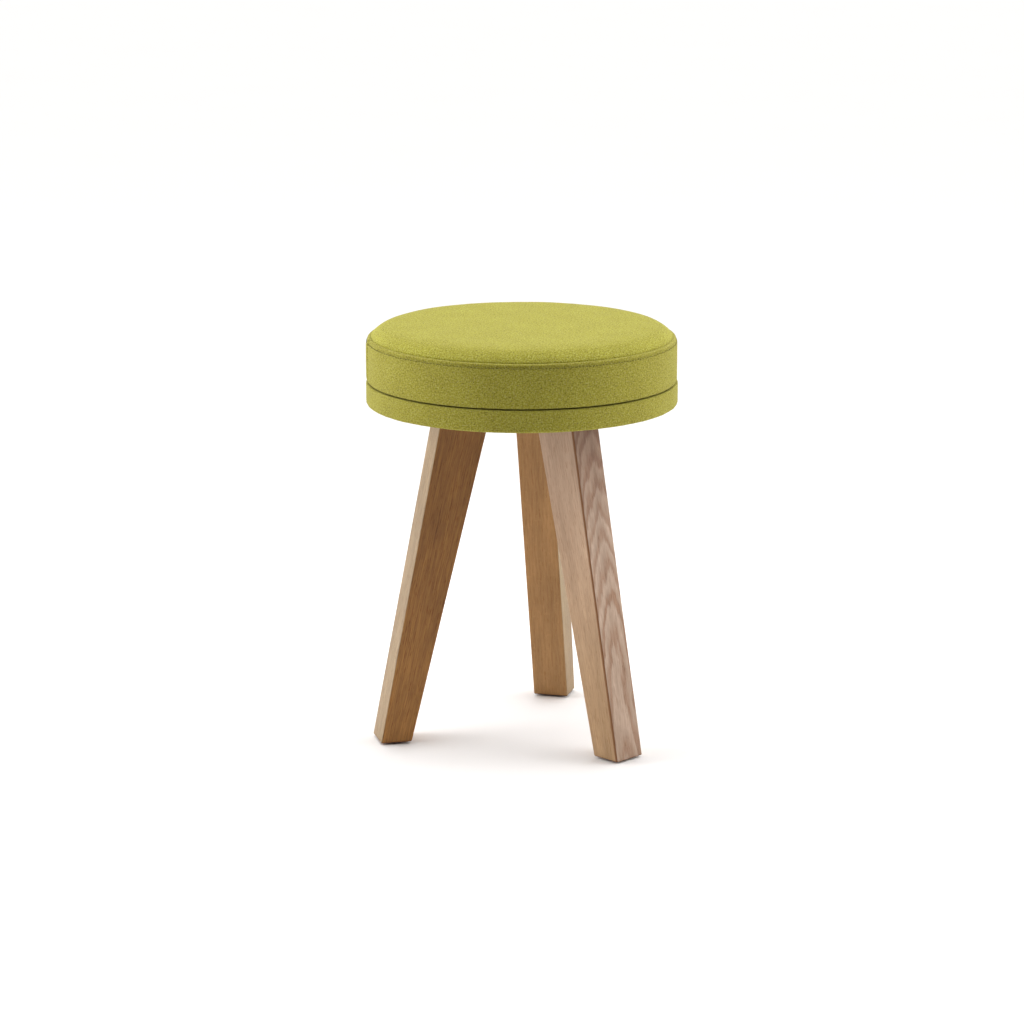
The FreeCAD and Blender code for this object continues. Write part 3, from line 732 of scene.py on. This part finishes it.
def outwardFromSeam(piece, angle, fromSeam):
    # at the seam both covers are pulled in the same way, so that it stays closed
    outward = readPoints(piece, "normal")
    out, up = seam["pull"]
    common = np.stack([out * np.cos(angle), out * np.sin(angle), np.full_like(angle, up)], axis=1)
    share = bell(fromSeam, seam["pullWidth"])[:, None]
    return outward * (1 - share) + common * share


def sideStrip(core):
    rings = sideRings()
    piece = turnedSkin("seatSideStrip", rings, cushion["segments"])
    along, length, angle, _ = placesOn(piece, rings)
    fromSeam = length - along
    layWeave(piece, angle * seatRadius, -fromSeam, 2 * math.pi * seatRadius)
    drapeOver(piece, core)
    places = readPoints(piece)

    stitch = 0.5 + 0.5 * np.cos(angle * cushion["segments"] / 2)   # 1 at a stitch, 0 at a needle hole
    lift = -seam["depth"] * bell(fromSeam, seam["width"])
    lift += seam["ridge"] * ease(fromSeam, 0.0004, 0.0020) * (1 - ease(fromSeam, 0.0032, seam["stitchLine"]))
    lift -= seam["stitchDepth"] * (1.1 - 0.3 * stitch) * bell(fromSeam - seam["stitchLine"], 0.0008)
    free = ease(fromSeam, 0.0, 0.0016)
    puckers = smoothNoise(angle, (71, 97, 118, 139, 163), 3)
    lift += seam["pucker"] * puckers * bell(fromSeam - seam["stitchLine"] - 0.002, 0.006) * free
    slow = smoothNoise(angle, (3, 5, 9, 14, 22), 5)
    overHem = ease(places[:, 2], seatBottom, seatBottom + 0.006)
    lift += cushion["uneven"] * slow * overHem * ease(fromSeam, 0.004, 0.014)
    hem = smoothNoise(angle, (37, 53, 67, 88), 8)
    lift += cushion["hem"] * hem * bell(places[:, 2] - seatBottom - 0.004, 0.005)

    # the turned-in cloth lies behind one side of the join
    fromJoin = roundFrom(cushion["joinAzimuth"], angle) * seatRadius
    onJoin = ease(places[:, 2], seatBottom + 0.0015, seatBottom + 0.005) * free
    swell = ease(-fromJoin, 0.0003, 0.0025) * np.exp(-np.maximum(-fromJoin, 0) / cushion["bulgeReach"])
    lift += cushion["bulge"] * swell * onJoin
    dip = bell(fromJoin, 0.0012) * ease(places[:, 2], seatBottom, seatBottom + 0.004)
    lift -= cushion["joinDip"] * dip * free
    setPoints(piece, places + outwardFromSeam(piece, angle, fromSeam) * lift[:, None])
    thicken(piece, cushion["thickness"])
    smoothFaces(piece)
    wear(piece, woolBand)
    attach(piece, "seat")
    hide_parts("seat_cover_side")
    return piece


def topPanel(core):
    rings = topRings()
    piece = turnedSkin("seatTopPanel", rings, cushion["segments"], closed=True)
    fromSeam, length, angle, away = placesOn(piece, rings)
    reach = (length - fromSeam + rings[-1][0]) * np.minimum(away / rings[-1][0], 1)
    layWeave(piece, reach * np.cos(angle), reach * np.sin(angle))
    drapeOver(piece, core)
    places = readPoints(piece)

    free = ease(fromSeam, 0.0, 0.0016)
    lift = -seam["depth"] * bell(fromSeam, seam["width"])
    lift += cushion["topRidge"] * ease(fromSeam, 0.0006, 0.0025) * (1 - ease(fromSeam, 0.004, 0.012))
    pulls = smoothNoise(angle, (61, 83, 104, 127), 11)
    lift += cushion["topPulls"] * pulls * bell(fromSeam - 0.003, 0.005) * free
    slow = smoothNoise(angle, (2, 3, 5, 8, 13), 12)
    lift += cushion["topUneven"] * slow * ease(fromSeam, 0.002, 0.015) * ease(away, 0.0, 0.12)
    setPoints(piece, places + outwardFromSeam(piece, angle, fromSeam) * lift[:, None])
    thicken(piece, cushion["thickness"])
    smoothFaces(piece)
    wear(piece, woolTop)
    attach(piece, "seat")
    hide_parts("seat_cover_top")


stitches = {
    "count": 266,
    "length": 0.0031,
    "thread": 0.00055,
    "tilt": 0.10,
    "uneven": 0.05,
    "standOut": 0.40,         # share of the thread's thickness
    "dark": (0.034, 0.028, 0.007),
    "light": (0.080, 0.067, 0.014),
}


def threadFinish():
    material, here, _ = newMaterial("sewingThread")
    ply = here.scaled((0.9, 0.9, 2.6)).noise(1.0, 2)
    colour = ply.ramp((0.3, stitches["dark"]), (0.7, stitches["light"]))
    return finish(material, Base_Color=colour, Roughness=0.8, Normal=ply.bump(0.5, 0.0002),
                  Specular_IOR_Level=0.2)


def stitchRow(side):
    deselectAll()
    thread = stitches["thread"]
    bpy.ops.mesh.primitive_uv_sphere_add(segments=6, ring_count=6, radius=0.5)
    model = bpy.context.object
    bpy.ops.object.mode_set(mode="EDIT")
    bpy.ops.mesh.select_all(action="SELECT")
    bpy.ops.transform.rotate(value=math.pi / 2, orient_axis="Y", center_override=(0, 0, 0))
    bpy.ops.transform.resize(value=(stitches["length"], thread, thread))
    bpy.ops.object.mode_set(mode="OBJECT")
    chance = np.random.default_rng(21)
    height = seamHeight - seam["stitchLine"] * 0.97
    copies = []
    for number in range(stitches["count"]):
        angle = 2 * math.pi * number / stitches["count"]
        near = Vector((math.cos(angle), math.sin(angle), 0)) * float(sideRadius(height))
        _, spot, normal, _ = side.closest_point_on_mesh(near + Vector((0, 0, height)))
        copy = model.copy()
        copy.data = model.data.copy()
        bpy.context.collection.objects.link(copy)
        copy.location = spot + normal * thread * stitches["standOut"]
        tilt = stitches["tilt"] + chance.uniform(-stitches["uneven"], stitches["uneven"])
        copy.rotation_euler = (0, tilt, angle + math.pi / 2)
        copies.append(copy)
    bpy.data.objects.remove(model)
    deselectAll()
    for copy in copies:
        copy.select_set(True)
    bpy.context.view_layer.objects.active = copies[0]
    bpy.ops.object.join()
    row = bpy.context.object
    row.name = "seatStitches"
    bpy.ops.object.transform_apply(location=True, rotation=True, scale=True)
    smoothFaces(row)
    wear(row, threadFinish())
    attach(row, "seat")
    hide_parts("seat_topstitch")


core = paddedCore()
side = sideStrip(core)
topPanel(core)
bpy.data.objects.remove(core)
print("cushion covers")
stitchRow(side)
print("stitching")


# base band

band = {
    "segments": 532,
    "thickness": 0.0012,
    "fold": 0.150,
    "rise": 0.0004,
    "topBend": 0.0016,
    "lowBend": 0.0026,
    "proud": 0.0004,
    "uneven": 0.00022,        # slow waves round the band
    "hem": 0.00016,           # small waves over its lower edge
    "joinAzimuth": 172,
    "joinDip": 0.0008,
    "bulge": 0.0007,
    "bulgeReach": 0.012,
}


def bandRings(low, high, radius):
    under, over = band["lowBend"], band["topBend"]
    rings = [(float(reach), low) for reach in np.linspace(band["fold"], radius - under, 6)]
    for angle in np.linspace(0, math.pi / 2, 6)[1:]:
        rings.append((radius - under + under * math.sin(angle), low + under - under * math.cos(angle)))
    for height in np.linspace(low + under, high - over, 14)[1:]:
        rings.append((radius, float(height)))
    for angle in np.linspace(0, math.pi / 2, 6)[1:]:
        rings.append((radius - over + over * math.cos(angle), high - over + over * math.sin(angle)))
    rings += [(float(reach), high) for reach in np.linspace(radius - over, band["fold"], 6)[1:]]
    return rings


def baseBand():
    low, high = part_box("base_cover")
    radius, bottom = high.x, low.z
    rings = bandRings(bottom, high.z + band["rise"], radius)
    piece = turnedSkin("baseBand", rings, band["segments"])
    along, _, angle, away = placesOn(piece, rings)
    layWeave(piece, angle * radius, along, 2 * math.pi * radius)
    places = readPoints(piece)
    onWall = ease(away, radius - 0.003, radius)
    lift = band["proud"] + band["uneven"] * smoothNoise(angle, (3, 6, 11, 17, 29), 31)
    hem = smoothNoise(angle, (41, 59, 73, 95), 33)
    lift += band["hem"] * hem * bell(places[:, 2] - bottom - 0.003, 0.004)
    fromJoin = roundFrom(band["joinAzimuth"], angle) * radius
    lift -= band["joinDip"] * bell(fromJoin, 0.0012)
    swell = ease(fromJoin, 0.0003, 0.0025) * np.exp(-np.maximum(fromJoin, 0) / band["bulgeReach"])
    lift += band["bulge"] * swell
    setPoints(piece, places + readPoints(piece, "normal") * (lift * onWall)[:, None])
    thicken(piece, band["thickness"])
    smoothFaces(piece)
    wear(piece, woolBand)
    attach(piece, "base")
    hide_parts("base_cover")


baseBand()
print("base band")


# dust cover

dust = {
    "rings": 26,
    "segments": 216,
    "thickness": 0.0005,
    "staples": 36,
    "stapleRadius": 0.155,
    "sag": 0.0008,
    "edgeFrom": 0.140,
    "scallop": 0.0005,        # how far the edge hangs, and draws in, between two staples
    "drawnIn": 0.0008,
    "cutFrom": 0.037,         # openings for the legs: from the middle, and half their width
    "cutTo": 0.0945,
    "cutHalf": 0.021,
    "azimuths": (-60, 60, 180),
}


def dustCover():
    low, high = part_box("dust_cover")
    radius = high.x
    rings = [(float(reach), high.z) for reach in np.linspace(radius, 0.006, dust["rings"])]
    piece = turnedSkin("dustCover", rings, dust["segments"], closed=True)
    places = readPoints(piece)
    angle = np.arctan2(places[:, 1], places[:, 0])
    away = np.hypot(places[:, 0], places[:, 1])
    between = 0.5 - 0.5 * np.cos(dust["staples"] * (angle - math.pi / dust["staples"]))
    edge = ease(away, dust["edgeFrom"], radius)
    places[:, 2] -= dust["scallop"] * between * edge * ease(away, dust["stapleRadius"] - 0.012, radius)
    slack = smoothNoise(angle, (3, 5, 7, 12), 41) * 0.35 + 1
    inner = 1 - ease(away, 0.05, dust["stapleRadius"] - 0.002)
    places[:, 2] -= dust["sag"] * slack * inner
    places[:, :2] *= (1 - dust["drawnIn"] / radius * between * edge)[:, None]
    setPoints(piece, places)
    layWeave(piece, places[:, 0], places[:, 1])
    if readPoints(piece, "normal")[:, 2].mean() > 0:  # its outer face looks down
        piece.data.flip_normals()
    thicken(piece, dust["thickness"])
    for azimuth in dust["azimuths"]:
        cutOut(piece, math.radians(azimuth - 90), high.z)
    smoothFaces(piece)
    wear(piece, liningFinish())
    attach(piece, "base")
    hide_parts("dust_cover")


def cutOut(piece, angle, height):
    # an opening for a leg
    middle = (dust["cutFrom"] + dust["cutTo"]) / 2
    place = (middle * math.cos(angle), middle * math.sin(angle), height)
    deselectAll()
    bpy.ops.mesh.primitive_cube_add(size=1, location=place)
    cutter = bpy.context.object
    cutter.rotation_euler = (0, 0, angle)
    cutter.scale = (dust["cutTo"] - dust["cutFrom"], 2 * dust["cutHalf"], 0.02)
    bpy.ops.object.transform_apply(location=True, rotation=True, scale=True)
    opening = piece.modifiers.new("Opening", "BOOLEAN")
    opening.object = cutter
    opening.operation = "DIFFERENCE"
    applyModifiers(piece)
    bpy.data.objects.remove(cutter)


def liningFinish():
    material, _, onCloth = newMaterial("blackLining")
    lengthways = onCloth.scaled((0.9, 0.12, 1)).noise(1.0, 4, 0.7)
    crossways = onCloth.scaled((0.12, 0.9, 1)).noise(1.0, 4, 0.7)
    fibres = lengthways + crossways
    spots = {"Vector": onCloth, "Scale": 0.55, "Randomness": 0.15}
    pressed = 1 - node(fibres.tree, "ShaderNodeTexVoronoi", spots, "Distance").between(0.18, 0.30)
    colour = (fibres * 0.5).ramp((0.35, (0.010, 0.010, 0.011)), (0.65, (0.035, 0.035, 0.037)))
    colour = colour.mixed((0.006, 0.006, 0.007, 1), pressed * 0.7)
    height = fibres * 0.5 - pressed * 0.6
    return finish(
        material, Base_Color=colour, Roughness=0.85 - pressed * 0.25, Normal=height.bump(0.6, 0.0002))


dustCover()
print("dust cover")


# the pieces that keep their own shape

def plywood(name, layer):
    material, here, _ = newMaterial(name)
    height = here.dot((0, 0, 1))
    sheet = (height / layer).maths("FLOOR")
    crosswise = sheet.maths("PINGPONG", 1)
    longGrain = here.scaled((0.02, 0.6, 0.9)).noise(1.0, 4, 0.6)
    crossGrain = here.scaled((0.6, 0.02, 0.9)).noise(1.0, 4, 0.6)
    grain = longGrain * (1 - crosswise) + crossGrain * crosswise
    colour = grain.ramp((0.32, (0.42, 0.275, 0.15)), (0.55, (0.60, 0.44, 0.27)), (0.72, (0.68, 0.53, 0.35)))
    colour = colour.mixed((0.72, 0.66, 0.60, 1), crosswise * 0.8, "MULTIPLY")
    fromMiddle = ((height / layer).maths("FRACT") - 0.5).maths("ABSOLUTE")  # of one layer
    glue = fromMiddle.between(0.40, 0.49)
    colour = colour.mixed((0.45, 0.36, 0.28, 1), glue * 0.6, "MULTIPLY")
    return finish(material, Base_Color=colour, Roughness=0.6 + grain * 0.1, Normal=grain.bump(0.3, 0.0003))


def metal(name, colour, rough, turned=0.0, spangle=0.0):
    material, here, _ = newMaterial(name)
    away = here.scaled((1, 1, 0)).vector("LENGTH", (0, 0, 0), "Value")
    grooves = joined(away * 6, here.dot((0, 0, 1)) * 6, 0).noise(1.0, 2)
    grains = node(here.tree, "ShaderNodeTexVoronoi", {"Vector": here, "Scale": 0.9}, "Color")
    tone = grains.dot((0.33, 0.33, 0.33))
    dirt = here.noise(0.3, 3)
    worn = tuple(part * 0.78 for part in colour)
    shade = (dirt * 0.6 + tone * 0.4 * spangle + grooves * 0.4 * turned).ramp((0.30, worn), (0.62, colour))
    roughness = rough + dirt * 0.12 + tone * 0.15 * spangle
    height = grooves * turned + here.noise(3.0, 2) * 0.25
    return finish(
        material, Base_Color=shade, Roughness=roughness, Metallic=1.0, Normal=height.bump(0.25, 0.0002))


def nylon(name, colour, rough):
    material, here, _ = newMaterial(name)
    mottled = here.noise(0.35, 3)
    grain = here.noise(4.0, 2)
    darker = tuple(part * 0.82 for part in colour)
    return finish(
        material, Base_Color=mottled.ramp((0.35, darker), (0.65, colour)), Roughness=rough + grain * 0.12,
        Normal=grain.bump(0.2, 0.0002), Specular_IOR_Level=0.45)


def foam():
    material, here, _ = newMaterial("creamFoam")
    cells = node(here.tree, "ShaderNodeTexVoronoi", {"Vector": here, "Scale": 1.1}, "Distance")
    patches = here.noise(0.05, 3)
    # darker in the hollows of the cells: painted shade
    colour = (cells * 0.6 + patches * 0.5).ramp((0.25, (0.60, 0.50, 0.26)), (0.7, (0.80, 0.72, 0.46)))
    return finish(material, Base_Color=colour, Roughness=0.95, Normal=cells.bump(0.8, 0.0006))


def wadding():
    material, here, _ = newMaterial("whiteWadding")
    lengthways = here.scaled((0.12, 0.5, 0.5)).noise(1.0, 5, 0.7)
    crossways = here.scaled((0.5, 0.12, 0.5)).noise(1.0, 5, 0.7)
    wisps = lengthways * 0.5 + crossways * 0.5
    colour = wisps.ramp((0.3, (0.66, 0.66, 0.65)), (0.65, (0.86, 0.86, 0.85)))
    return finish(material, Base_Color=colour, Roughness=0.95, Normal=wisps.bump(0.9, 0.0010))


zinc = metal("zincSteel", (0.62, 0.64, 0.66), 0.30, spangle=1.0)
ringAlloy = metal("ringAlloy", (0.70, 0.71, 0.72), 0.26, turned=1.0)
birch = {"base_board": plywood("basePlywood", 1.4), "seat_board": plywood("seatPlywood", 1.333)}
softWhite = wadding()
finishes = {
    **birch,
    "base_wadding": softWhite,
    "seat_wadding": softWhite,
    "seat_foam": foam(),
    "bearing_outer_ring": ringAlloy,
    "bearing_inner_ring": ringAlloy,
    "bearing_balls": metal("ballSteel", (0.66, 0.67, 0.68), 0.08),
    "bearing_cage": nylon("cageNylon", (0.62, 0.60, 0.54), 0.42),
    "foot_glides": nylon("glideNylon", (0.16, 0.12, 0.09), 0.45),
}
for name in (
    "leg_inserts", "leg_bolts", "base_staples_top", "base_staples_under", "dust_cover_staples",
    "bearing_outer_screws", "bearing_inner_screws", "seat_staples",
):
    finishes[name] = zinc
for name, material in finishes.items():
    wear(nodes[name], material)
print("boards, padding, bearing and fixings")
